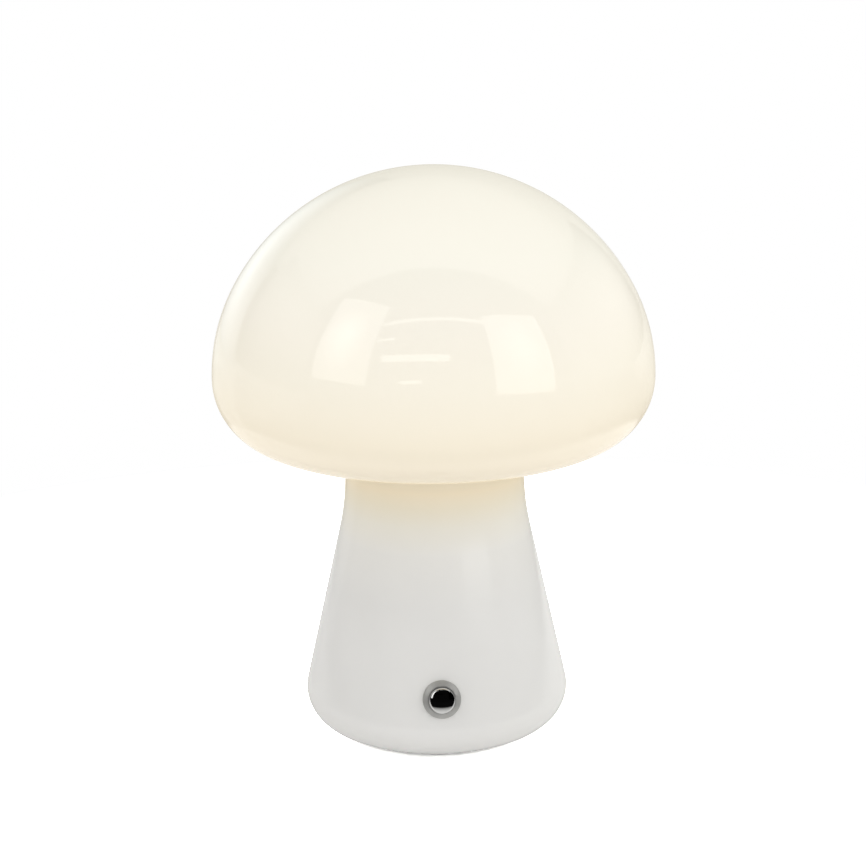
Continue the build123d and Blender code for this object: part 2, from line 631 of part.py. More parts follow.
def heat_sink():
    """Aluminium disc whose spigot drops into the post."""
    spigot_radius = POST_RADIUS - POST_WALL - SPIGOT_CLEARANCE
    shape = disc(SINK_RADIUS, POST_TOP, SINK_THICKNESS)
    shape += disc(spigot_radius, POST_TOP - SPIGOT_LENGTH, SPIGOT_LENGTH)
    shape -= disc(SPIGOT_BORE_RADIUS, POST_TOP - SPIGOT_LENGTH, SPIGOT_LENGTH + SINK_THICKNESS)
    return shape - at_places(led_screw_places(), LED_BOARD_TOP, pilot(LED_SCREW, SCREW_CLEARANCE))


def led_board():
    board = tube(LED_BOARD_RADIUS, SPIGOT_BORE_RADIUS, SINK_TOP, LED_BOARD_THICKNESS)
    return board - at_places(led_screw_places(), LED_BOARD_TOP, pilot(LED_SCREW))


def led_chips():
    chip = Pos(LED_CIRCLE_RADIUS, 0, LED_BOARD_TOP) * Box(*LED_SIZE, align=UP)
    return [Rot(0, 0, (k + 0.5) * 360 / LED_COUNT) * chip for k in range(LED_COUNT)]


def led_diffuser():
    """Frosted dome that sits on the heat sink's edge, with a skirt round it."""
    inner = SINK_RADIUS + DIFFUSER_CLEARANCE
    outer = inner + DIFFUSER_WALL
    skirt_bottom = SINK_TOP - DIFFUSER_SKIRT
    side_top = SINK_TOP + DIFFUSER_SIDE
    body = disc(outer, skirt_bottom, side_top - skirt_bottom) + Pos(0, 0, side_top) * Sphere(outer)
    below = disc(outer, skirt_bottom - 2 * outer, 2 * outer)
    seat_inner = LED_BOARD_RADIUS + DIFFUSER_CLEARANCE
    room = disc(seat_inner, SINK_TOP, DIFFUSER_SIDE) + Pos(0, 0, side_top) * Sphere(seat_inner)
    room -= disc(seat_inner, SINK_TOP - 2 * seat_inner, 2 * seat_inner)
    return body - below - room - disc(inner, skirt_bottom, DIFFUSER_SKIRT)


# ---- Push-button switch, in its own frame ----

def switch_gasket(shell):
    """Soft ring that fills from the round glass to the flat back of the collar."""
    reach = 2 * GLASS_WALL
    ring = Pos(0, 0, GASKET_THICKNESS) * Cylinder(COLLAR_DIAMETER / 2, reach, align=DOWN)
    ring -= Cylinder(SWITCH_HOLE_DIAMETER / 2, 4 * reach)
    return (SWITCH_FRAME * ring - shell).solids().sort_by(Axis.Y)[0]


def washer_back():
    """Level of the washer's flat face behind the glass."""
    return -GLASS_WALL - WASHER_THICKNESS


def switch_washer(shell):
    """Soft washer that fills from the hollow side of the glass to the flat nut."""
    reach = 2 * GLASS_WALL
    ring = Pos(0, 0, washer_back()) * Cylinder(WASHER_DIAMETER / 2, reach, align=UP)
    ring -= Cylinder(SWITCH_HOLE_DIAMETER / 2, 4 * reach)
    return (SWITCH_FRAME * ring - shell).solids().sort_by(Axis.Y)[-1]


def switch_collar():
    """Satin ring and barrel in one, with the ledge that the return spring stands on."""
    outer, seat = COLLAR_DIAMETER / 2, GASKET_THICKNESS
    rim = BORE_RADIUS + COLLAR_INNER_RIM
    top = seat + COLLAR_HEIGHT
    guide = PLUNGER_RADIUS + BUTTON_CLEARANCE
    barrel = BARREL_DIAMETER / 2
    points = [(guide, -LEDGE_DEPTH), (BORE_RADIUS, -LEDGE_DEPTH), (BORE_RADIUS, top), (rim, top),
              (outer, seat + COLLAR_EDGE), (outer, seat), (barrel, seat), (barrel, BARREL_END),
              (REAR_BORE_RADIUS, BARREL_END), (REAR_BORE_RADIUS, -LEDGE_DEPTH - LEDGE_THICKNESS),
              (guide, -LEDGE_DEPTH - LEDGE_THICKNESS)]
    outline = Polyline(*[(r, 0, z) for r, z in points], close=True)
    shape = revolve(make_face(outline), Axis.Z)
    return fillet(circle_edges(shape, outer, seat + COLLAR_EDGE), COLLAR_EDGE_ROUNDING)


def switch_nut():
    hexagon = RegularPolygon(NUT_ACROSS_FLATS / 2, 6, major_radius=False)
    nut = extrude(hexagon - Circle(BARREL_DIAMETER / 2 + NUT_CLEARANCE), -NUT_THICKNESS)
    return Pos(0, 0, washer_back()) * nut


def push_button():
    """Head with a low dome and a rounded rim, hollow behind for the spring, on a thin plunger."""
    button_back = BUTTON_HEIGHT - BUTTON_DEPTH
    pocket_top = button_back + BUTTON_POCKET_DEPTH
    head = Pos(0, 0, button_back) * Cylinder(BUTTON_RADIUS, BUTTON_DEPTH, align=UP)
    head &= Pos(0, 0, BUTTON_HEIGHT - BUTTON_CROWN_RADIUS) * Sphere(BUTTON_CROWN_RADIUS)
    rim = [edge for edge in head.edges().filter_by(GeomType.CIRCLE)
           if edge.center().Z > button_back + BUTTON_DEPTH / 2]
    head = fillet(rim, BUTTON_RIM_ROUNDING)
    pocket = Pos(0, 0, button_back) * Cylinder(BUTTON_POCKET_RADIUS, BUTTON_POCKET_DEPTH, align=UP)
    plunger = Pos(0, 0, PLUNGER_TIP) * Cylinder(PLUNGER_RADIUS, pocket_top - PLUNGER_TIP, align=UP)
    groove = Pos(0, 0, circlip_back()) * Cylinder(BUTTON_DIAMETER, CIRCLIP_THICKNESS, align=UP)
    groove -= Pos(0, 0, circlip_back()) * Cylinder(circlip_bore(), CIRCLIP_THICKNESS, align=UP)
    return head - pocket + plunger - groove


def circlip_back():
    return -LEDGE_DEPTH - LEDGE_THICKNESS - CIRCLIP_GAP - CIRCLIP_THICKNESS


def circlip_bore():
    return PLUNGER_RADIUS - CIRCLIP_THICKNESS


def button_circlip():
    """Open ring in the plunger's groove that stops the button from coming out."""
    ring = Cylinder(CIRCLIP_OUTER_RADIUS, CIRCLIP_THICKNESS, align=UP)
    ring -= Cylinder(circlip_bore() + CIRCLIP_GAP, CIRCLIP_THICKNESS, align=UP)
    ring -= Box(CIRCLIP_OUTER_RADIUS, CIRCLIP_OPENING, CIRCLIP_THICKNESS,
                align=(Align.MIN, Align.CENTER, Align.MIN))
    return Pos(0, 0, circlip_back()) * ring


def switch_spring():
    """Return spring from the collar's ledge to the pocket in the button."""
    length = BUTTON_HEIGHT - BUTTON_DEPTH + BUTTON_POCKET_DEPTH + LEDGE_DEPTH
    spring = coil(RETURN_SPRING_RADIUS, RETURN_SPRING_WIRE, length, RETURN_SPRING_TURNS)
    return Pos(0, 0, -LEDGE_DEPTH) * spring


def contact_block():
    return Pos(0, 0, BARREL_END) * Cylinder(CONTACT_BLOCK_DIAMETER / 2, CONTACT_BLOCK_LENGTH, align=DOWN)


def terminal_back():
    return BARREL_END - CONTACT_BLOCK_LENGTH


def switch_terminals():
    tab = Pos(0, 0, terminal_back()) * Box(*TERMINAL_SIZE, align=DOWN)
    return [Pos(side * TERMINAL_SPACING / 2, 0, 0) * tab for side in (-1, 1)]


# ---- Inner leads ----

def led_leads():
    """Pair of leads from the board's middle connector up the post and over to the LED board."""
    start = BOARD_TOP + CONNECTOR_SIZE[2]
    loop = LED_BOARD_TOP + LED_WIRE_LOOP
    near, far = WIRE_PITCH / 2, LED_PAD_RADIUS
    return [wire([(side * near, 0, start), (side * near, 0, loop), (side * far, 0, loop),
                  (side * far, 0, LED_BOARD_TOP)], WIRE_BEND) for side in (-1, 1)]


def battery_lead(end):
    """Lead from a solder tag, up past the edge of the circuit board and down onto its pad."""
    tag_x, y = tag_place(end)
    face = tag_x - end * CONTACT_THICKNESS / 2
    upright = face - end * BATTERY_WIRE_STAND
    pad = end * (BOARD_LENGTH / 2 - BATTERY_PAD_INSET)
    level = TUB_TOP + TAG_RISE - WIRE_DIAMETER / 2
    loop = BOARD_TOP + BATTERY_WIRE_LOOP
    points = [(face, y, level), (upright, y, level), (upright, y, loop), (pad, y, loop), (pad, y, BOARD_TOP)]
    return wire(points, WIRE_BEND / 2)


def switch_leads():
    """Pair of leads from the switch terminals down through the notch to the front connector."""
    front = switch_connector_place()[1] - CONNECTOR_SIZE[1] / 2
    level = BOARD_TOP + CONNECTOR_SIZE[2] / 2
    leads = []
    for side in (-1, 1):
        tip = Vector(side * TERMINAL_SPACING / 2, 0, terminal_back() - TERMINAL_SIZE[2])
        straight_end = tip - Vector(0, 0, SWITCH_WIRE_LEAD)
        start, straight = [(SWITCH_FRAME * Pos(*p)).position for p in (tip, straight_end)]
        x = side * WIRE_PITCH / 2
        points = [start, straight, (x, -CUP_RADIUS + CUP_WALL, level), (x, front, level)]
        leads.append(wire(points, SWITCH_WIRE_BEND))
    return leads


# ---- Build and write every piece ----

def in_switch_frame(shape):
    shapes = shape if isinstance(shape, list) else [shape]
    return [SWITCH_FRAME * one for one in shapes]


def pieces():
    shell = glass_shell()
    yield "glass_body", glass_body(shell)
    yield "base_chassis", base_chassis()
    yield "seal_ring", seal_ring()
    yield "foot_pads", foot_pads()
    yield "retaining_clips", [Rot(0, 0, angle) * retaining_clip() for angle in CLIP_ANGLES]
    yield "clip_screws", [clip_frame(angle) * pan_screw(CLIP_SCREW) for angle in CLIP_ANGLES]

    yield "battery_door", battery_door()
    yield "door_screws", door_screws()
    for number, (y, end) in enumerate(cell_rows(), 1):
        yield f"battery_cell_{number}", Pos(0, y, 0) * battery_cell(end)
    yield "battery_springs", [Pos(0, y, 0) * battery_spring(end) for y, end in cell_rows()]
    yield "contact_negative", end_contact(-1)
    yield "contact_positive", end_contact(1)
    yield "contact_bridges", [contact_plate(1, 0, 1), contact_plate(-1, 1, 2)]

    yield "control_board", control_board()
    yield "board_screws", at_places(board_screw_places(), BOARD_TOP, pan_screw(BOARD_SCREW))
    yield "driver_chip", on_board(Box(*CHIP_SIZE, align=UP), CHIP_PLACE)
    yield "inductor", on_board(Cylinder(INDUCTOR_DIAMETER / 2, INDUCTOR_HEIGHT, align=UP), INDUCTOR_PLACE)
    yield "capacitors", [on_board(Cylinder(CAPACITOR_DIAMETER / 2, CAPACITOR_HEIGHT, align=UP), place)
                         for place in CAPACITOR_PLACES]
    yield "led_connector", on_board(connector())
    yield "switch_connector", on_board(connector(), switch_connector_place())
    yield "chassis_cover", chassis_cover()
    yield "cover_screws", at_places(cover_screw_places(), TUB_TOP + COVER_FLANGE_THICKNESS,
                                    pan_screw(COVER_SCREW))

    yield "led_post", led_post()
    yield "post_screws", at_places(post_screw_places(), COVER_TOP + POST_FOOT_THICKNESS,
                                   pan_screw(POST_SCREW))
    yield "heat_sink", heat_sink()
    yield "led_board", led_board()
    yield "led_chips", led_chips()
    yield "led_board_screws", at_places(led_screw_places(), LED_BOARD_TOP, pan_screw(LED_SCREW))
    yield "led_diffuser", led_diffuser()

    yield "switch_gasket", switch_gasket(shell)
    yield "switch_washer", switch_washer(shell)
    yield "switch_collar", in_switch_frame(switch_collar())
    yield "switch_nut", in_switch_frame(switch_nut())
    yield "push_button", in_switch_frame(push_button())
    yield "button_circlip", in_switch_frame(button_circlip())
    yield "switch_spring", in_switch_frame(switch_spring())
    yield "contact_block", in_switch_frame(contact_block())
    yield "switch_terminals", in_switch_frame(switch_terminals())

    yield "led_leads", led_leads()
    yield "battery_leads", [battery_lead(-1), battery_lead(1)]
    yield "switch_leads", switch_leads()


os.makedirs("parts", exist_ok=True)
for name, shape in pieces():
    solids = shape if isinstance(shape, list) else [shape]
    export_step(Compound([solid for one in solids for solid in one.solids()]), f"parts/{name}.step")
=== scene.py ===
import math
import bmesh
import bpy
import numpy as np
from mathutils import Matrix, Vector


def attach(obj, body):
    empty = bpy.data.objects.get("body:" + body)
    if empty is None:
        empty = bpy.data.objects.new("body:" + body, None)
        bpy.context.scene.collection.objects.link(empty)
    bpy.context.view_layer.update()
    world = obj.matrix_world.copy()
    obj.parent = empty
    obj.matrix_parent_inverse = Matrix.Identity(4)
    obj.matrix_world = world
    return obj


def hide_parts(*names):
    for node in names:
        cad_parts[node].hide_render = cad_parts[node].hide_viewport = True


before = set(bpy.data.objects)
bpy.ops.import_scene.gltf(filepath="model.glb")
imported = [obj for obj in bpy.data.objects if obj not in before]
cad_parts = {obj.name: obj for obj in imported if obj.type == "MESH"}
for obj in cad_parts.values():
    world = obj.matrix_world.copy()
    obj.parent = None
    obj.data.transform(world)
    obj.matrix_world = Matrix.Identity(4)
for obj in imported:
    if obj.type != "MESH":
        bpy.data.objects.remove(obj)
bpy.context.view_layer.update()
scene = bpy.context.scene
scene.view_settings.view_transform = "Standard"


# ---- Camera ----
# A long lens 0.8 m from the middle of the lamp, 15 degrees above it and 2 degrees to the left of the button.
# The camera is turned half a degree about its own axis, as the lamp stands in the picture.

CAMERA_TURN, CAMERA_RISE, CAMERA_ROLL = map(math.radians, (-2.1, 14.78, 0.6))
CAMERA_DISTANCE = 0.8
LENS_PIXELS = 1940.0                      # focal length in pixels of an image 866 wide
IMAGE_SIZE = 866
SENSOR = 36.0
CLIP_NEAR, CLIP_FAR = 0.05, 50.0
LAMP_MIDDLE = Vector((0, 0, 0.1175))
MIDDLE_SHIFT = (1.4, 19.6)                # pixels from the image's centre to the lamp's middle

to_camera = Vector((math.sin(CAMERA_TURN) * math.cos(CAMERA_RISE),
                    -math.cos(CAMERA_TURN) * math.cos(CAMERA_RISE), math.sin(CAMERA_RISE)))
camera_place = LAMP_MIDDLE + CAMERA_DISTANCE * to_camera
level = Vector((0, 0, 1)).cross(to_camera).normalized()
upright = to_camera.cross(level)
across = level * math.cos(CAMERA_ROLL) - upright * math.sin(CAMERA_ROLL)
upward = upright * math.cos(CAMERA_ROLL) + level * math.sin(CAMERA_ROLL)
pixel = CAMERA_DISTANCE / LENS_PIXELS
aim = LAMP_MIDDLE - across * (MIDDLE_SHIFT[0] * pixel) + upward * (MIDDLE_SHIFT[1] * pixel)
back = (camera_place - aim).normalized()
across = (across - back * across.dot(back)).normalized()
upward = back.cross(across)

camera = bpy.data.objects.new("camera", bpy.data.cameras.new("camera"))
scene.collection.objects.link(camera)
camera.data.sensor_width = SENSOR
camera.data.lens = LENS_PIXELS / IMAGE_SIZE * SENSOR
camera.data.clip_start, camera.data.clip_end = CLIP_NEAR, CLIP_FAR
facing = Matrix((across, upward, back)).transposed()
camera.matrix_world = Matrix.LocRotScale(camera_place, facing, None)
scene.camera = camera


# ---- Studio: air, table, soft boxes ----
# A white room for the eye and for soft light, dark where the gloss looks, with white panels to shine in the
# glass. The table is a white sweep: near the lamp and in two parts behind it, it shines in glass and chrome, and
# elsewhere the gloss sees it dark.

ROOM_LIGHT = (0.965, 0.97, 0.975, 1.0)
ROOM_STRENGTH = 0.945
ROOM_IN_GLOSS = (0.003, 0.003, 0.003, 1.0)
TABLE_REACH = 6.0
TABLE_WHITE = (0.93, 0.93, 0.93)
TABLE_LIT_MIDDLE = (0.0, 0.145, 0.0)      # of the round part of the table that shines in gloss
TABLE_LIT_RADIUS, TABLE_LIT_FADE = 0.236, 0.05
TABLE_GLOSS_NEAR, TABLE_GLOSS_FAR = 1.1, 0.005
TABLE_FOR_MATT = 1.05                     # share of its white that matt surfaces get
TABLE_EXPOSURE = 4.2                      # for the camera the table is bright enough to burn out to white
LEFT_BACK_EDGE = (0.516, 0.857, -0.06, -0.03)         # direction x and y, and where the share starts and is full
LEFT_BACK_REACH = (-0.95, -0.30, 0.07, 0.13, 0.8)     # the same, and the full share
RIGHT_BACK_REACH = (-0.42, 0.91, -0.10, 0.30, 0.5)
SWEEP_START = 0.22                        # distance at which the table turns into the white background


def add(tree, kind, inputs=None, **settings):
    """Adds a shader node, sets its properties, and fills or links its inputs."""
    made = tree.nodes.new(kind)
    for name, value in settings.items():
        setattr(made, name, value)
    for name, value in (inputs or {}).items():
        if isinstance(value, bpy.types.NodeSocket):
            tree.links.new(value, made.inputs[name])
        else:
            made.inputs[name].default_value = value
    return made


def ranged(tree, value, start, end, low=0.0, high=1.0):
    """Goes evenly from low to high as the value goes from start to end, and stays there beyond them."""
    return add(tree, "ShaderNodeMapRange", {"Value": value, "From Min": start, "From Max": end, "To Min": low,
                                            "To Max": high}).outputs[0]


def reckoned(tree, operation, *values):
    """Result of one of the maths node's operations on two or three values."""
    return add(tree, "ShaderNodeMath", dict(enumerate(values)), operation=operation).outputs[0]


def mixed(tree, share, first, second, kind="RGBA"):
    """The first where the share is 0 and the second where it is 1: colours, or numbers with the kind FLOAT."""
    mix = add(tree, "ShaderNodeMix", {"Factor": share, "A": first, "B": second}, data_type=kind)
    return mix.outputs["Result"]


room = bpy.data.worlds.new("room")
room.use_nodes = True
scene.world = room
tree = room.node_tree
tree.nodes.clear()
path = add(tree, "ShaderNodeLightPath")
soft = add(tree, "ShaderNodeBackground", {"Color": ROOM_LIGHT, "Strength": ROOM_STRENGTH})
dark = add(tree, "ShaderNodeBackground", {"Color": ROOM_IN_GLOSS, "Strength": 1.0})
white = add(tree, "ShaderNodeBackground", {"Color": (1, 1, 1, 1), "Strength": 1.0})
for_gloss = add(tree, "ShaderNodeMixShader", {0: path.outputs["Is Glossy Ray"], 1: soft.outputs[0],
                                              2: dark.outputs[0]})
for_eye = add(tree, "ShaderNodeMixShader", {0: path.outputs["Is Camera Ray"], 1: for_gloss.outputs[0],
                                            2: white.outputs[0]})
add(tree, "ShaderNodeOutputWorld", {"Surface": for_eye.outputs[0]})


def mesh_object(name, points, faces, uv=None):
    """Mesh from rows of points and rows of corner numbers, with one UV pair for each corner when given."""
    mesh = bpy.data.meshes.new(name)
    mesh.from_pydata(np.asarray(points, float), [], np.asarray(faces).tolist())
    if uv is not None:
        mesh.uv_layers.new(name="map").data.foreach_set("uv", np.asarray(uv, "f").ravel())
    made = bpy.data.objects.new(name, mesh)
    scene.collection.objects.link(made)
    return made


table_material = bpy.data.materials.new("table_white")
table_material.use_nodes = True
tree = table_material.node_tree
tree.nodes.clear()
path = add(tree, "ShaderNodeLightPath")
place = add(tree, "ShaderNodeTexCoord")
from_lamp = add(tree, "ShaderNodeVectorMath", {0: place.outputs["Object"]}, operation="LENGTH")
from_lit = add(tree, "ShaderNodeVectorMath", {0: place.outputs["Object"], 1: TABLE_LIT_MIDDLE},
               operation="DISTANCE")
near = ranged(tree, from_lit.outputs["Value"], TABLE_LIT_RADIUS, TABLE_LIT_RADIUS + TABLE_LIT_FADE,
              TABLE_GLOSS_NEAR, TABLE_GLOSS_FAR)


def table_side(along_x, along_y, start, end, top=1.0):
    """Share that grows from 0 to the top value as the way along a level direction goes from start to end."""
    reach = add(tree, "ShaderNodeVectorMath", {0: place.outputs["Object"], 1: (along_x, along_y, 0)},
                operation="DOT_PRODUCT")
    return ranged(tree, reach.outputs["Value"], start, end, 0.0, top)


left_back = reckoned(tree, "MULTIPLY", table_side(*LEFT_BACK_EDGE), table_side(*LEFT_BACK_REACH))
behind = reckoned(tree, "MAXIMUM", left_back, table_side(*RIGHT_BACK_REACH))
in_gloss = reckoned(tree, "MAXIMUM", near, behind)
tone = mixed(tree, path.outputs["Is Glossy Ray"], TABLE_FOR_MATT, in_gloss, "FLOAT")
exposed = mixed(tree, path.outputs["Is Camera Ray"], tone, TABLE_EXPOSURE, "FLOAT")
shade = add(tree, "ShaderNodeVectorMath", {0: TABLE_WHITE, "Scale": exposed}, operation="SCALE")
paint = add(tree, "ShaderNodeBsdfDiffuse", {"Color": shade.outputs[0]})
sweep = add(tree, "ShaderNodeEmission", {"Color": (1, 1, 1, 1), "Strength": 1.0})
far = ranged(tree, from_lamp.outputs["Value"], SWEEP_START, 2 * SWEEP_START)
far_for_eye = reckoned(tree, "MULTIPLY", far, path.outputs["Is Camera Ray"])
cover = add(tree, "ShaderNodeMixShader", {0: far_for_eye, 1: paint.outputs[0], 2: sweep.outputs[0]})
add(tree, "ShaderNodeOutputMaterial", {"Surface": cover.outputs[0]})
table = mesh_object("table", [(-TABLE_REACH, -TABLE_REACH, 0), (TABLE_REACH, -TABLE_REACH, 0),
                              (TABLE_REACH, TABLE_REACH, 0), (-TABLE_REACH, TABLE_REACH, 0)], [(0, 1, 2, 3)])
table.data.materials.append(table_material)


def light_panel(name, corners, colour, strength, fade=0.0, soft=1.0, middle=(0.5, 0.5), spread=0.62):
    """Glowing four-cornered panel, hidden from the camera. With fade, it dims away from its middle over the
    spread, both in shares of its sides. Matt surfaces get its strength times soft, and gloss sees it in full."""
    panel = mesh_object(name, corners, [(0, 1, 2, 3)], [(0, 0), (1, 0), (1, 1), (0, 1)])
    glow = bpy.data.materials.new(name)
    glow.use_nodes = True
    tree = glow.node_tree
    tree.nodes.clear()
    spot = add(tree, "ShaderNodeUVMap", uv_map="map")
    centred = add(tree, "ShaderNodeVectorMath", {0: spot.outputs[0], 1: (*middle, 0)}, operation="DISTANCE")
    level = ranged(tree, centred.outputs["Value"], 0.0, spread, strength, strength * (1 - fade))
    share = mixed(tree, add(tree, "ShaderNodeLightPath").outputs["Is Glossy Ray"], soft, 1.0, "FLOAT")
    output = reckoned(tree, "MULTIPLY", level, share)
    light = add(tree, "ShaderNodeEmission", {"Color": (*colour, 1), "Strength": output})
    add(tree, "ShaderNodeOutputMaterial", {"Surface": light.outputs[0]})
    panel.data.materials.append(glow)
    panel.visible_camera = False


RISE_FROM = 0.18                          # height on the lamp from which the panels' rises are taken
BOX_DISTANCE, SCREEN_DISTANCE, LEFT_WALL_DISTANCE = 1.3, 1.6, 1.7
CEILING_HEIGHT, WALL_BASE, ROOM_SIDE, ROOM_BACK = 1.4, 0.04, 1.6, 3.0
CEILING_LEFT, CEILING_FRONT_LEFT, CEILING_FRONT_RIGHT, RIGHT_WALL_FRONT = -1.9, -0.33, -0.42, -0.55
BOX_WHITE, CEILING_WHITE = (1.0, 0.99, 0.97), (1.0, 1.0, 0.98)
CREAM, COOL = (1.0, 0.97, 0.93), (0.88, 0.94, 1.0)
TUBE_DISTANCE, TUBE_SOFT = 1.0, 0.1


def seen_from_lamp(distance, *corners):
    """Points at a level distance from the lamp, each given by its turn from the front (right is plus) and its
    rise, in degrees."""
    points = []
    for turn, rise in np.radians(corners):
        points.append((distance * math.sin(turn), -distance * math.cos(turn),
                       RISE_FROM + distance * math.tan(rise)))
    return points


def wall_corners(start, end):
    """Upright rectangle from the table to the ceiling, between two places (x, y)."""
    return [(*start, WALL_BASE), (*end, WALL_BASE), (*end, CEILING_HEIGHT), (*start, CEILING_HEIGHT)]


light_panel("left_box", seen_from_lamp(BOX_DISTANCE, (-64.4, 6.3), (-35.4, 6.4), (-33.4, 50.7), (-67.8, 46.8)),
            BOX_WHITE, 3.4, fade=0.60, soft=0.75, middle=(0.40, 0.45), spread=0.42)
light_panel("right_box", seen_from_lamp(BOX_DISTANCE, (28.1, 1.2), (58.9, -1.6), (62.0, 36.8), (29.5, 45.3)),
            BOX_WHITE, 2.45, fade=0.36, soft=0.95, middle=(0.52, 0.55), spread=0.40)
light_panel("ceiling", [(ROOM_SIDE, CEILING_FRONT_RIGHT, CEILING_HEIGHT),
                        (CEILING_LEFT, CEILING_FRONT_LEFT, CEILING_HEIGHT),
                        (CEILING_LEFT, ROOM_BACK, CEILING_HEIGHT), (ROOM_SIDE, ROOM_BACK, CEILING_HEIGHT)],
            CEILING_WHITE, 1.05, fade=0.65, soft=0.65, middle=(0.5, 0.15))
light_panel("right_wall", wall_corners((ROOM_SIDE, RIGHT_WALL_FRONT), (ROOM_SIDE, ROOM_BACK)),
            CEILING_WHITE, 0.62, fade=0.85, soft=5.0, middle=(0.42, 0.5), spread=0.55)
light_panel("back_wall", wall_corners((ROOM_SIDE, ROOM_BACK), (-ROOM_SIDE, ROOM_BACK)), CREAM, 0.36, soft=3.5)
light_panel("left_screen", seen_from_lamp(SCREEN_DISTANCE, (-170, -4), (-121, -4), (-133, 26), (-174, 30)),
            COOL, 1.4, fade=0.85, soft=1.75, middle=(0.55, 0.4), spread=0.66)
light_panel("left_wall", seen_from_lamp(LEFT_WALL_DISTANCE, (-119, 4), (-69, 4), (-69, 35), (-128, 35)),
            CREAM, 0.75, fade=1.0, soft=2.75, middle=(0.5, 0.7), spread=0.75)


def tube_lamp(name, left, right, thickness, strength):
    """Thin bar in front of the ceiling that draws a fine bright line on the cap, between two ends (x, z)."""
    corners = [(x, -TUBE_DISTANCE, z + side * thickness / 2)
               for x, z, side in ((*left, -1), (*right, -1), (*right, 1), (*left, 1))]
    light_panel(name, corners, CEILING_WHITE, strength, soft=TUBE_SOFT)


tube_lamp("ceiling_tube", (-0.642, 1.225), (0.600, 1.208), 0.062, 1.7)
tube_lamp("long_tube", (-0.555, 0.636), (0.107, 0.612), 0.085, 2.0)
tube_lamp("short_tube", (-0.663, 0.916), (-0.439, 0.916), 0.035, 2.2)
tube_lamp("low_tube", (-0.333, 0.352), (-0.134, 0.360), 0.034, 2.0)


# ---- Glass ----
# One blown opal glass: mushroom cap, neck and flared stem in a single wall 3.5 mm thick, fire-polished outside,
# with its foot ground flat. It is lit from inside, so the cap glows warm and the glow dies away down the neck.

GLASS_WALL = 0.0035
CAP_RADIUS, CAP_TOP, CAP_RIM = 0.090, 0.2355, 0.1513
UNDER_LEVEL, UNDER_HEIGHT, UNDER_FILLET = 0.057, 0.1215, 0.008
NECK_RADIUS, NECK_STRAIGHT, NECK_BEND = 0.0369, 0.0025, 0.110
FOOT_RADIUS, FOOT_ROUND, GLASS_FOOT = 0.055, 0.0144, 0.0026
OPENING_RADIUS = 0.0355
SHOULDER_TURN, RIM_TURN = math.radians(28), math.radians(60)
SWITCH_HOLE, SWITCH_HEIGHT = 0.00625, 0.030
GLASS_ROUND_STEPS = 192
OUTSIDE_STEP, INSIDE_STEP = 0.0025, 0.004    # longest run between two rings of the mesh
HOLE_REACH = 3 * GLASS_WALL               # of the drill through the wall, each way


def quarter_radii(reach, rise, turn):
    """Radii of two tangent arcs from upright to level, of which the first turns by the given angle."""
    whole = math.sin(turn) + math.cos(turn) - 1
    return ((rise * math.cos(turn) - reach * (1 - math.sin(turn))) / whole,
            (reach * math.sin(turn) - rise * (1 - math.cos(turn))) / whole)


def arc_points(centre, radius, start, end, steps):
    """Points on a circle round a centre (r, z), at even angles from start to end."""
    angle = np.linspace(start, end, steps)
    return np.c_[centre[0] + radius * np.cos(angle), centre[1] + radius * np.sin(angle)]


foot_centre = (FOOT_RADIUS - FOOT_ROUND, GLASS_FOOT + FOOT_ROUND)
bend_centre = (NECK_RADIUS + NECK_BEND, UNDER_HEIGHT - UNDER_FILLET - NECK_STRAIGHT)
span = (bend_centre[0] - foot_centre[0], bend_centre[1] - foot_centre[1])
STEM_LEAN = math.atan2(span[1], span[0]) - math.acos((FOOT_ROUND + NECK_BEND) / math.hypot(*span))


def glass_wall_line(inset):
    """Profile from the crown down to the foot, of tangent arcs joined by straights, all inset by one depth."""
    shoulder, crown = quarter_radii(CAP_RADIUS, CAP_TOP - CAP_RIM, SHOULDER_TURN)
    rim, under = quarter_radii(CAP_RADIUS - UNDER_LEVEL, CAP_RIM - UNDER_HEIGHT, RIM_TURN)
    fillet_centre = (NECK_RADIUS + UNDER_FILLET, UNDER_HEIGHT - UNDER_FILLET)
    runs = [arc_points((0, CAP_TOP - crown), crown - inset, math.pi / 2, SHOULDER_TURN, 72),
            arc_points((CAP_RADIUS - shoulder, CAP_RIM), shoulder - inset, SHOULDER_TURN, 0, 40)[1:],
            arc_points((CAP_RADIUS - rim, CAP_RIM), rim - inset, 0, -RIM_TURN, 32)[1:],
            arc_points((UNDER_LEVEL, UNDER_HEIGHT + under), under - inset, -RIM_TURN, -math.pi / 2, 20)[1:],
            arc_points(fillet_centre, UNDER_FILLET + inset, math.pi / 2, math.pi, 16),
            arc_points(bend_centre, NECK_BEND + inset, math.pi, math.pi + STEM_LEAN, 14),
            arc_points(foot_centre, FOOT_ROUND - inset, STEM_LEAN, -math.pi / 2, 26)]
    return np.concatenate(runs)


def filled(line, longest):
    """The same profile, with even points added along any run longer than a given length."""
    runs = []
    for start, end in zip(line, line[1:]):
        share = np.linspace(0, 1, max(1, math.ceil(math.dist(start, end) / longest)), endpoint=False)[:, None]
        runs.append(start + share * (end - start))
    return np.concatenate(runs + [line[-1:]])


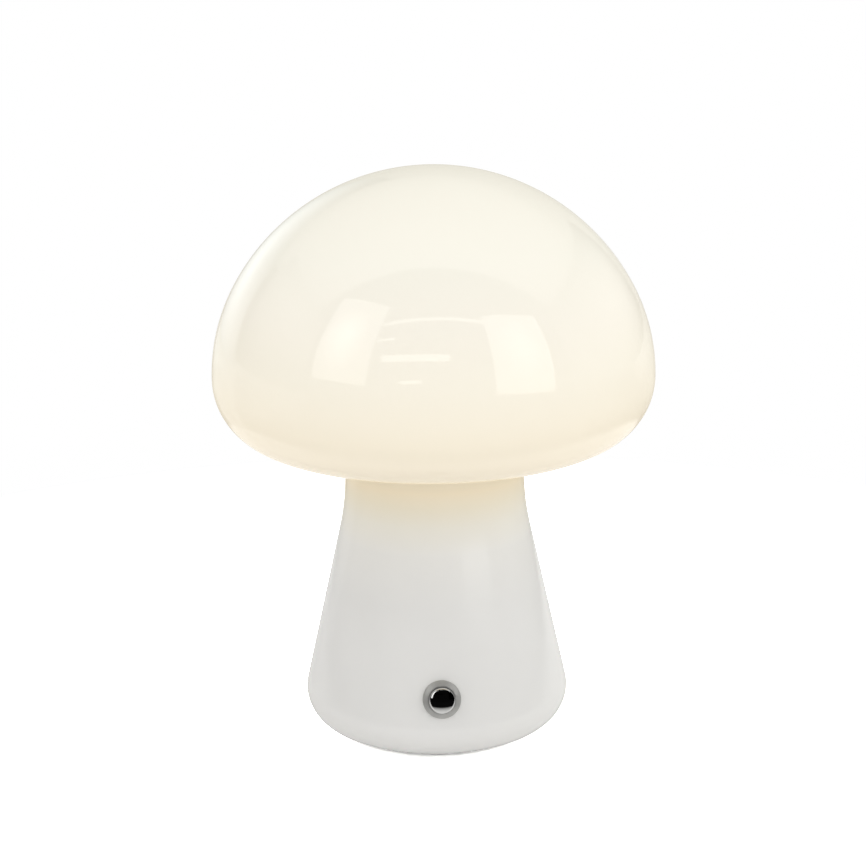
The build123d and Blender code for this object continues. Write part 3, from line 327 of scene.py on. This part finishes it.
def turned(name, profile, steps, place=Matrix.Identity(4)):
    """Surface of revolution: profile point (r, z) and turn t give the point (r cos t, r sin t, z), moved by
    place. The profile runs down the outside, so faces point out. Points that meet on the axis are merged."""
    turn = np.linspace(0, 2 * math.pi, steps, endpoint=False)
    grid = np.stack([np.outer(profile[:, 0], np.cos(turn)), np.outer(profile[:, 0], np.sin(turn)),
                     np.repeat(profile[:, 1:], steps, 1)], -1).reshape(-1, 3)
    grid = grid @ np.array(place.to_3x3()).T + np.array(place.translation)
    row, column = [k.ravel() for k in np.meshgrid(np.arange(len(profile) - 1), np.arange(steps), indexing="ij")]
    beside = (column + 1) % steps
    faces = np.stack([row * steps + column, (row + 1) * steps + column, (row + 1) * steps + beside,
                      row * steps + beside], -1)
    made = mesh_object(name, grid, faces)
    tidy = bmesh.new()
    tidy.from_mesh(made.data)
    bmesh.ops.remove_doubles(tidy, verts=tidy.verts, dist=1e-7)
    tidy.to_mesh(made.data)
    tidy.free()
    made.data.shade_smooth()
    made.data.set_sharp_from_angle(angle=math.radians(40))
    return made


def cut_away(piece, cutter):
    """Cuts one piece out of another for good, and removes the cutter."""
    cut = piece.modifiers.new("cut", "BOOLEAN")
    cut.operation, cut.solver, cut.object = "DIFFERENCE", "EXACT", cutter
    finished = piece.evaluated_get(bpy.context.evaluated_depsgraph_get())
    whole = bpy.data.meshes.new_from_object(finished)
    piece.modifiers.clear()
    piece.data = whole
    bpy.data.objects.remove(cutter)


flank = foot_centre[0] * math.cos(STEM_LEAN) + foot_centre[1] * math.sin(STEM_LEAN) + FOOT_ROUND
switch_reach = (flank - SWITCH_HEIGHT * math.sin(STEM_LEAN)) / math.cos(STEM_LEAN)
switch_axis = Vector((0, -math.cos(STEM_LEAN), math.sin(STEM_LEAN)))
switch_place = Matrix.LocRotScale(Vector((0, -switch_reach, SWITCH_HEIGHT)), Matrix((
    (1, 0, 0), switch_axis.cross((1, 0, 0)), switch_axis)).transposed(), None)

outside, inside = filled(glass_wall_line(0), OUTSIDE_STEP), filled(glass_wall_line(GLASS_WALL)[::2], INSIDE_STEP)
ground_foot = [(OPENING_RADIUS, GLASS_FOOT), (OPENING_RADIUS, GLASS_FOOT + GLASS_WALL)]
glass = turned("glass", np.concatenate([outside, ground_foot, inside[::-1]]), GLASS_ROUND_STEPS)
hole_line = np.array([(0, HOLE_REACH), (SWITCH_HOLE, HOLE_REACH), (SWITCH_HOLE, -HOLE_REACH), (0, -HOLE_REACH)])
cut_away(glass, turned("hole", hole_line, 96, switch_place))


def node_group(name, inputs, outputs):
    """Empty shader node group with named sockets; each input is a name, a kind and a value."""
    group = bpy.data.node_groups.new(name, "ShaderNodeTree")
    for label, kind, value in inputs:
        group.interface.new_socket(label, in_out="INPUT", socket_type=kind).default_value = value
    for label, kind in outputs:
        group.interface.new_socket(label, in_out="OUTPUT", socket_type=kind)
    return group, add(group, "NodeGroupInput"), add(group, "NodeGroupOutput")


GRAIN_RELIEF = 0.0001                     # depth of the grain at full strength

# Grain: two tones that drift into each other in soft patches, a finer grain in the gloss, and a bump of that
# grain.
surface_grain, given, put_out = node_group(
    "surface_grain",
    [("Tone A", "NodeSocketColor", (0.8, 0.8, 0.8, 1)), ("Tone B", "NodeSocketColor", (0.7, 0.7, 0.7, 1)),
     ("Patch Scale", "NodeSocketFloat", 40.0), ("Grain Scale", "NodeSocketFloat", 2000.0),
     ("Grain Depth", "NodeSocketFloat", 0.1), ("Smoothest", "NodeSocketFloat", 0.3),
     ("Roughest", "NodeSocketFloat", 0.4)],
    [("Color", "NodeSocketColor"), ("Roughness", "NodeSocketFloat"), ("Normal", "NodeSocketVector")])
spot = add(surface_grain, "ShaderNodeTexCoord").outputs["Object"]
patches = add(surface_grain, "ShaderNodeTexNoise", {"Vector": spot, "Scale": given.outputs["Patch Scale"],
                                                    "Detail": 3.0})
spread = ranged(surface_grain, patches.outputs["Fac"], 0.35, 0.65)
grains = add(surface_grain, "ShaderNodeTexNoise", {"Vector": spot, "Scale": given.outputs["Grain Scale"],
                                                   "Detail": 2.0})
tone = mixed(surface_grain, spread, given.outputs["Tone A"], given.outputs["Tone B"])
gloss = ranged(surface_grain, grains.outputs["Fac"], 0.3, 0.7, given.outputs["Smoothest"],
               given.outputs["Roughest"])
relief = add(surface_grain, "ShaderNodeBump", {"Height": grains.outputs["Fac"], "Distance": GRAIN_RELIEF,
                                               "Strength": given.outputs["Grain Depth"]})
for socket, value in (("Color", tone), ("Roughness", gloss), ("Normal", relief.outputs[0])):
    surface_grain.links.new(value, put_out.inputs[socket])


def grained(name, tones, patch, grain, depth, roughness, metallic=0.0):
    """Material with the grain group's colour, gloss and bump: two tones, the scales of patches and grain, the
    depth of the grain and its least and most roughness. Gives it, its Principled shader and the group's node."""
    material = bpy.data.materials.new(name)
    material.use_nodes = True
    shader = material.node_tree.nodes["Principled BSDF"]
    surface = add(material.node_tree, "ShaderNodeGroup", node_tree=surface_grain)
    values = ((*tones[0], 1), (*tones[1], 1), patch, grain, depth, *roughness)
    for socket, value in zip(surface.inputs, values):
        socket.default_value = value
    for socket, source in (("Base Color", "Color"), ("Roughness", "Roughness"), ("Normal", "Normal")):
        material.node_tree.links.new(surface.outputs[source], shader.inputs[socket])
    shader.inputs["Metallic"].default_value = metallic
    return material, shader, surface


def object_place(tree, axis):
    """Place along one of the object's own axes."""
    spot = add(tree, "ShaderNodeTexCoord").outputs["Object"]
    return add(tree, "ShaderNodeSeparateXYZ", {0: spot}).outputs[axis]


OPAL_TONES = ((0.808, 0.804, 0.792), (0.792, 0.788, 0.776))
LIT_TONE = (0.63, 0.61, 0.57, 1)          # of the glass where it is lit from behind
LIT_FROM, LIT_FULL = 0.086, 0.112         # heights between which that tone takes over
GLOW_BOTTOM, GLOW_TOP = 0.065, 0.235      # heights of the first and last tone of the glow
GLOW = ((0.0, (0.003, 0.003, 0.002)), (0.118, (0.036, 0.034, 0.024)), (0.182, (0.130, 0.115, 0.066)),
        (0.229, (0.205, 0.160, 0.062)), (0.265, (0.280, 0.202, 0.076)), (0.338, (0.228, 0.174, 0.090)),
        (0.371, (0.290, 0.225, 0.118)), (0.400, (0.333, 0.268, 0.155)), (0.459, (0.370, 0.310, 0.195)),
        (0.588, (0.373, 0.340, 0.254)), (0.706, (0.368, 0.342, 0.276)), (0.824, (0.372, 0.360, 0.296)),
        (1.0, (0.385, 0.370, 0.300)))
STEM_SOFTNESS, SOFT_BELOW, SHARP_ABOVE = 0.14, 0.10, 0.122     # roughness added to the stem, and its heights
GROUND_ROUGHNESS, GROUND_BELOW, POLISHED_ABOVE = 0.6, GLASS_FOOT + 0.0001, GLASS_FOOT + 0.0004

opal, opal_shader, opal_surface = grained("opal_glass", OPAL_TONES, 28, 45, 0.01, (0.008, 0.02))
tree = opal.node_tree
height = object_place(tree, "Z")
opal_tone = mixed(tree, ranged(tree, height, LIT_FROM, LIT_FULL), opal_surface.outputs["Color"], LIT_TONE)
tree.links.new(opal_tone, opal_shader.inputs["Base Color"])
glow = add(tree, "ShaderNodeValToRGB", {0: ranged(tree, height, GLOW_BOTTOM, GLOW_TOP)})
for at, _ in GLOW[1:-1]:
    glow.color_ramp.elements.new(at)
for stop, (at, colour) in zip(glow.color_ramp.elements, GLOW):
    stop.position, stop.color = at, (*colour, 1)
tree.links.new(glow.outputs["Color"], opal_shader.inputs["Emission Color"])
opal_shader.inputs["Emission Strength"].default_value = 1.0
ground = ranged(tree, height, GROUND_BELOW, POLISHED_ABOVE, GROUND_ROUGHNESS, 0.0)
softer = reckoned(tree, "ADD", ranged(tree, height, SOFT_BELOW, SHARP_ABOVE, STEM_SOFTNESS, 0.0),
                  opal_surface.outputs["Roughness"])
tree.links.new(reckoned(tree, "MAXIMUM", ground, softer), opal_shader.inputs["Roughness"])
glass.data.materials.append(opal)
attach(glass, "lamp")
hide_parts("glass_body")


# ---- Base unit: tub, battery door, cover ----
# White ABS mouldings with a spark-eroded finish. The tub plugs the ground foot of the glass; the door lies flush
# in its underside under two screws, and the cover closes the circuit board above.

def dress(material, *names):
    """Gives the named CAD solids a material."""
    for name in names:
        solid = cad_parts[name]
        solid.data.materials.clear()
        solid.data.materials.append(material)


moulded, _, _ = grained("moulded_white", ((0.78, 0.78, 0.765), (0.735, 0.735, 0.72)), 45, 2600, 0.35,
                        (0.38, 0.52))
dress(moulded, "base_chassis", "chassis_cover", "led_post")
door_white, _, _ = grained("door_white", ((0.75, 0.75, 0.735), (0.71, 0.71, 0.69)), 70, 2100, 0.5, (0.42, 0.58))
dress(door_white, "battery_door")


# ---- Soft rings and feet ----
# Moulded silicone rings, pale and a little glossy, seal the glass to the tub and to the switch on both sides of
# its wall. Four grey rubber pads, pressed into the tub, carry the lamp.

silicone, _, _ = grained("silicone", ((0.70, 0.71, 0.70), (0.62, 0.63, 0.62)), 120, 900, 0.15, (0.4, 0.55))
dress(silicone, "seal_ring", "switch_gasket", "switch_washer")
rubber, _, _ = grained("pad_rubber", ((0.36, 0.36, 0.355), (0.46, 0.455, 0.445)), 420, 3400, 0.7,
                       (0.6, 0.85))
dress(rubber, "foot_pads")


# ---- Springs, clips and screws ----
# Clips and springs of steel strip and wire with a brown temper tint, zinc-plated screws, and contacts, nut and
# terminals with a nickel plate, pressed or screwed into the mouldings.

sprung, _, _ = grained("spring_steel", ((0.46, 0.45, 0.43), (0.33, 0.29, 0.25)), 260, 1800, 0.12,
                       (0.24, 0.40), 1.0)
dress(sprung, "retaining_clips", "battery_springs", "switch_spring", "button_circlip")
zinc, _, _ = grained("zinc_plate", ((0.60, 0.61, 0.62), (0.50, 0.48, 0.41)), 380, 2600, 0.2, (0.22, 0.42), 1.0)
dress(zinc, "clip_screws", "door_screws", "cover_screws", "board_screws", "post_screws", "led_board_screws")
nickel, _, _ = grained("nickel_plate", ((0.66, 0.63, 0.57), (0.57, 0.53, 0.46)), 300, 1500, 0.1,
                       (0.16, 0.30), 1.0)
dress(nickel, "contact_negative", "contact_positive", "contact_bridges", "switch_nut", "switch_terminals")


# ---- Battery cells ----
# Three AAA cells: a printed shrink sleeve, plain green with a pale ring towards the stud, over a steel can whose
# ends stay bare. Each lies the other way round from its neighbour.

SLEEVE_GREEN, GREEN_DRIFT = (0.02, 0.13, 0.085), 1.3
SLEEVE_RING, BARE_STEEL = (0.62, 0.63, 0.60, 1), (0.58, 0.57, 0.55, 1)
FLAT_END, CAN_END = 0.02025, -0.02325     # along the cell, from its flat end to the shoulder of its stud
SLEEVE_SHORT, RING_START, RING_END = 0.0006, -0.0200, -0.0165


def cell_material(name, way):
    """Sleeve and bare ends by the place along X; way is 1 when the flat end points to plus X."""
    greens = (SLEEVE_GREEN, [GREEN_DRIFT * part for part in SLEEVE_GREEN])
    material, shader, surface = grained(name, greens, 90, 1500, 0.05, (0.25, 0.36))
    tree = material.node_tree
    place = reckoned(tree, "MULTIPLY", object_place(tree, "X"), float(way))

    def between(low, high):
        """1 between two places along the cell, and 0 elsewhere."""
        return reckoned(tree, "MULTIPLY", reckoned(tree, "GREATER_THAN", place, low),
                        reckoned(tree, "LESS_THAN", place, high))

    sleeve = between(CAN_END + SLEEVE_SHORT, FLAT_END - SLEEVE_SHORT)
    ringed = mixed(tree, between(RING_START, RING_END), surface.outputs["Color"], SLEEVE_RING)
    tree.links.new(mixed(tree, sleeve, BARE_STEEL, ringed), shader.inputs["Base Color"])
    tree.links.new(reckoned(tree, "SUBTRACT", 1.0, sleeve), shader.inputs["Metallic"])
    return material


for number, way in ((1, -1), (2, 1), (3, -1)):
    dress(cell_material(f"cell_{number}_sleeve", way), f"battery_cell_{number}")


# ---- Circuit board and its parts ----
# A green solder-masked board with fine tracks, a driver chip, a wound choke, two can capacitors and two
# nylon connectors, on four standoffs over the battery bay.

TRACK_GREEN = (0.03, 0.23, 0.085, 1)      # of the solder mask where it covers a track
board, board_shader, board_surface = grained("solder_mask", ((0.008, 0.10, 0.04), (0.012, 0.13, 0.05)), 60, 1800,
                                             0.08, (0.22, 0.34))
tree = board.node_tree
spot = add(tree, "ShaderNodeTexCoord").outputs["Object"]
tracks = add(tree, "ShaderNodeTexBrick", {"Vector": spot, "Scale": 260.0, "Mortar Size": 0.035,
                                          "Mortar Smooth": 0.1, "Brick Width": 1.3, "Row Height": 0.34,
                                          "Color1": (0, 0, 0, 1), "Color2": (0, 0, 0, 1),
                                          "Mortar": (1, 1, 1, 1)}, offset=0.37)
track_tone = mixed(tree, tracks.outputs["Fac"], board_surface.outputs["Color"], TRACK_GREEN)
tree.links.new(track_tone, board_shader.inputs["Base Color"])
dress(board, "control_board")
epoxy, _, _ = grained("chip_epoxy", ((0.018, 0.018, 0.02), (0.03, 0.03, 0.03)), 500, 4000, 0.4, (0.45, 0.6))
dress(epoxy, "driver_chip", "contact_block")
ferrite, _, _ = grained("ferrite", ((0.05, 0.05, 0.052), (0.085, 0.083, 0.08)), 900, 3600, 0.6, (0.5, 0.7))
dress(ferrite, "inductor")
can, _, _ = grained("capacitor_can", ((0.70, 0.70, 0.71), (0.60, 0.60, 0.61)), 240, 1400, 0.06, (0.2, 0.3), 1.0)
dress(can, "capacitors")
nylon, _, _ = grained("connector_nylon", ((0.74, 0.72, 0.66), (0.68, 0.66, 0.59)), 260, 1700, 0.2, (0.35, 0.5))
dress(nylon, "led_connector", "switch_connector")


# ---- Light column ----
# A moulded post carries a turned aluminium disc with fine lathe rings. The white LED board is screwed on it,
# with twelve warm LEDs under phosphor, and a frosted dome snaps over them.

turned_metal, metal_shader, _ = grained("turned_aluminium", ((0.74, 0.74, 0.75), (0.66, 0.66, 0.67)), 90, 2400,
                                        0.1, (0.25, 0.38), 1.0)
tree = turned_metal.node_tree
rings = add(tree, "ShaderNodeTexWave", {"Vector": add(tree, "ShaderNodeTexCoord").outputs["Object"],
                                        "Scale": 420.0, "Distortion": 0.4, "Detail": 1.0},
            wave_type="RINGS", rings_direction="Z")
ring_relief = add(tree, "ShaderNodeBump", {"Height": rings.outputs["Fac"], "Distance": 0.00005,
                                           "Strength": 0.25})
tree.links.new(ring_relief.outputs[0], metal_shader.inputs["Normal"])
dress(turned_metal, "heat_sink")

LED_TRACK_RADII, LED_TRACK_HALF, LED_TRACK_TONE = (0.0118, 0.0164), 0.0004, (0.60, 0.58, 0.53, 1)
led_white, white_shader, white_surface = grained("led_board_mask", ((0.82, 0.82, 0.80), (0.78, 0.78, 0.755)), 80,
                                                 1600, 0.08, (0.3, 0.42))
tree = led_white.node_tree
flat_spot = add(tree, "ShaderNodeCombineXYZ", {0: object_place(tree, "X"), 1: object_place(tree, "Y")})
reach = add(tree, "ShaderNodeVectorMath", {0: flat_spot.outputs[0]}, operation="LENGTH").outputs["Value"]
tone = white_surface.outputs["Color"]
for radius in LED_TRACK_RADII:
    tone = mixed(tree, reckoned(tree, "COMPARE", reach, radius, LED_TRACK_HALF), tone, LED_TRACK_TONE)
tree.links.new(tone, white_shader.inputs["Base Color"])
dress(led_white, "led_board")

LED_SHINE, LED_STRENGTH = (1.0, 0.82, 0.52, 1), 2.0
LED_SIDE, LED_FACE = 0.1029, 0.1033       # heights where a chip's dark side ends and its lit face begins
phosphor, phosphor_shader, _ = grained("led_phosphor", ((0.85, 0.62, 0.16), (0.78, 0.55, 0.12)), 900, 3000, 0.1,
                                       (0.3, 0.4))
tree = phosphor.node_tree
shine = mixed(tree, ranged(tree, object_place(tree, "Z"), LED_SIDE, LED_FACE), (0, 0, 0, 1), LED_SHINE)
tree.links.new(shine, phosphor_shader.inputs["Emission Color"])
phosphor_shader.inputs["Emission Strength"].default_value = LED_STRENGTH
dress(phosphor, "led_chips")

DOME_FOOT, DOME_TOP = 0.101, 0.122        # heights between which its glow grows from the dim to the bright tone
DOME_DIM, DOME_BRIGHT = (0.10, 0.07, 0.03, 1), (0.85, 0.72, 0.50, 1)
frosted, frosted_shader, _ = grained("frosted_dome", ((0.86, 0.85, 0.82), (0.82, 0.81, 0.77)), 60, 2200, 0.4,
                                     (0.5, 0.65))
tree = frosted.node_tree
dome_glow = mixed(tree, ranged(tree, object_place(tree, "Z"), DOME_FOOT, DOME_TOP), DOME_DIM, DOME_BRIGHT)
tree.links.new(dome_glow, frosted_shader.inputs["Emission Color"])
frosted_shader.inputs["Emission Strength"].default_value = 1.0
dress(frosted, "led_diffuser")


# ---- Switch collar ----
# Turned steel ring and threaded barrel in one. The ring's face slopes and is satin from a fine lathe finish,
# with a bright chamfer at the bore; the barrel goes through the glass to its nut.

COLLAR_RADIUS, COLLAR_SEAT, COLLAR_EDGE, COLLAR_TOP = 0.00765, 0.0004, 0.0013, 0.0023
BORE_RADIUS, RIM_WIDTH, BARREL_RADIUS, BARREL_END = 0.0052, 0.0005, 0.0060, -0.0095
LEDGE_TOP, LEDGE_BOTTOM, GUIDE_RADIUS, REAR_BORE = -0.003, -0.006, 0.00205, 0.0046
THREAD_START, THREAD_PITCH, THREAD_TURNS, THREAD_DEPTH = -0.0042, 0.0008, 6, 0.0003


def softened(corners, reaches, steps=5):
    """Profile through the corners, each but the ends rounded by a short quadratic curve of its own reach."""
    corners = np.array(corners, float)
    line = [corners[:1]]
    t = np.linspace(0, 1, steps)[:, None]
    for before, corner, after, reach in zip(corners, corners[1:], corners[2:], reaches):
        back, ahead = before - corner, after - corner
        start = corner + back / np.linalg.norm(back) * min(reach, np.linalg.norm(back) / 2)
        end = corner + ahead / np.linalg.norm(ahead) * min(reach, np.linalg.norm(ahead) / 2)
        line.append((1 - t) ** 2 * start + 2 * t * (1 - t) * corner + t ** 2 * end)
    return np.concatenate(line + [corners[-1:]])


thread_steps = np.arange(1 + 2 * THREAD_TURNS)
thread_line = np.c_[BARREL_RADIUS - THREAD_DEPTH * (thread_steps % 2),
                    THREAD_START - THREAD_PITCH / 2 * thread_steps]
collar_corners = [(GUIDE_RADIUS, LEDGE_BOTTOM), (GUIDE_RADIUS, LEDGE_TOP), (BORE_RADIUS, LEDGE_TOP),
                  (BORE_RADIUS, COLLAR_TOP), (BORE_RADIUS + RIM_WIDTH, COLLAR_TOP), (COLLAR_RADIUS, COLLAR_EDGE),
                  (COLLAR_RADIUS, COLLAR_SEAT), (BARREL_RADIUS, COLLAR_SEAT), *thread_line,
                  (BARREL_RADIUS - THREAD_DEPTH, BARREL_END), (REAR_BORE, BARREL_END), (REAR_BORE, LEDGE_BOTTOM),
                  (GUIDE_RADIUS, LEDGE_BOTTOM)]
collar_rounds = (5e-5, 1e-4, 1.5e-4, 1.2e-4, 3.5e-4, 8e-5, 5e-5) + (6e-5,) * (len(thread_line) + 3)
collar = turned("collar", softened(collar_corners, collar_rounds), 128, switch_place)


satin, satin_shader, _ = grained("satin_steel", ((0.43, 0.43, 0.42), (0.39, 0.39, 0.38)), 220, 2600, 0.1,
                                 (0.34, 0.46), 0.4)
tree = satin.node_tree
spot = add(tree, "ShaderNodeTexCoord").outputs["Object"]
out_along_button = add(tree, "ShaderNodeMapping", {"Vector": spot, "Location": switch_place.translation,
                                                   "Rotation": switch_place.to_euler()}, vector_type="TEXTURE")
rings = add(tree, "ShaderNodeTexWave", {"Vector": out_along_button.outputs[0], "Scale": 1500.0,
                                        "Distortion": 0.6, "Detail": 2.0, "Detail Scale": 2.0},
            wave_type="RINGS", rings_direction="Z")
ring_relief = add(tree, "ShaderNodeBump", {"Height": rings.outputs["Fac"], "Distance": 0.00002,
                                           "Strength": 0.35})
tree.links.new(ring_relief.outputs[0], satin_shader.inputs["Normal"])
collar.data.materials.append(satin)
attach(collar, "lamp")
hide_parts("switch_collar")


# ---- Push button ----
# Polished chrome button with a low dome and a rounded rim, turned in one with its plunger, which slides 1.5 mm
# in the collar. The soft box and the wall on the right and the three lower tube lamps are linked away from it,
# so that its dome shows the dark room.

BUTTON_RADIUS, BUTTON_HEIGHT, CROWN_RADIUS, BUTTON_RIM = 0.00515, 0.0060, 0.0120, 0.0011
SKIRT_BACK, POCKET_RADIUS, POCKET_TOP = -0.0002, 0.0042, 0.0015
PLUNGER_RADIUS, PLUNGER_TIP = 0.0020, -0.0079
GROOVE_RADIUS, GROOVE_TOP, GROOVE_BACK = 0.0015, -0.00605, -0.00655

rim_turn = math.acos((BUTTON_RADIUS - BUTTON_RIM) / (CROWN_RADIUS - BUTTON_RIM))
rim_centre = BUTTON_HEIGHT - CROWN_RADIUS + (CROWN_RADIUS - BUTTON_RIM) * math.sin(rim_turn)
crown = np.concatenate([arc_points((0, BUTTON_HEIGHT - CROWN_RADIUS), CROWN_RADIUS, math.pi / 2, rim_turn, 24),
                        arc_points((BUTTON_RADIUS - BUTTON_RIM, rim_centre), BUTTON_RIM, rim_turn, 0, 16)[1:]])
crown[0, 0] = 0.0
button_back = [(BUTTON_RADIUS, SKIRT_BACK), (POCKET_RADIUS, SKIRT_BACK), (POCKET_RADIUS, POCKET_TOP),
               (PLUNGER_RADIUS, POCKET_TOP), (PLUNGER_RADIUS, GROOVE_TOP), (GROOVE_RADIUS, GROOVE_TOP),
               (GROOVE_RADIUS, GROOVE_BACK), (PLUNGER_RADIUS, GROOVE_BACK), (PLUNGER_RADIUS, PLUNGER_TIP),
               (0, PLUNGER_TIP)]
button = turned("button_head", np.concatenate([crown, button_back]), 128, switch_place)
chrome, _, _ = grained("button_chrome", ((0.68, 0.685, 0.69), (0.65, 0.655, 0.66)), 300, 900, 0.01,
                        (0.015, 0.03), 1.0)
button.data.materials.append(chrome)
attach(button, "button")
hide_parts("push_button")

linked_away = bpy.data.collections.new("linked_away")
linked_away.objects.link(button)
linked_away.collection_objects[0].light_linking.link_state = "EXCLUDE"
for name in ("right_box", "right_wall", "long_tube", "short_tube", "low_tube"):
    bpy.data.objects[name].light_linking.receiver_collection = linked_away


# ---- Inner leads ----
# Pairs of thin stranded leads in silicone insulation, red on one side of the lamp's middle and black on the
# other, soldered or plugged at both ends.

LEAD_BLACK = (0.015, 0.015, 0.016, 1)
insulation, lead_shader, lead_surface = grained("lead_insulation", ((0.50, 0.02, 0.015), (0.42, 0.015, 0.012)),
                                                300, 1500, 0.1, (0.35, 0.5))
tree = insulation.node_tree
red = reckoned(tree, "GREATER_THAN", object_place(tree, "X"), 0.0)
tree.links.new(mixed(tree, red, LEAD_BLACK, lead_surface.outputs["Color"]), lead_shader.inputs["Base Color"])
dress(insulation, "led_leads", "battery_leads", "switch_leads")
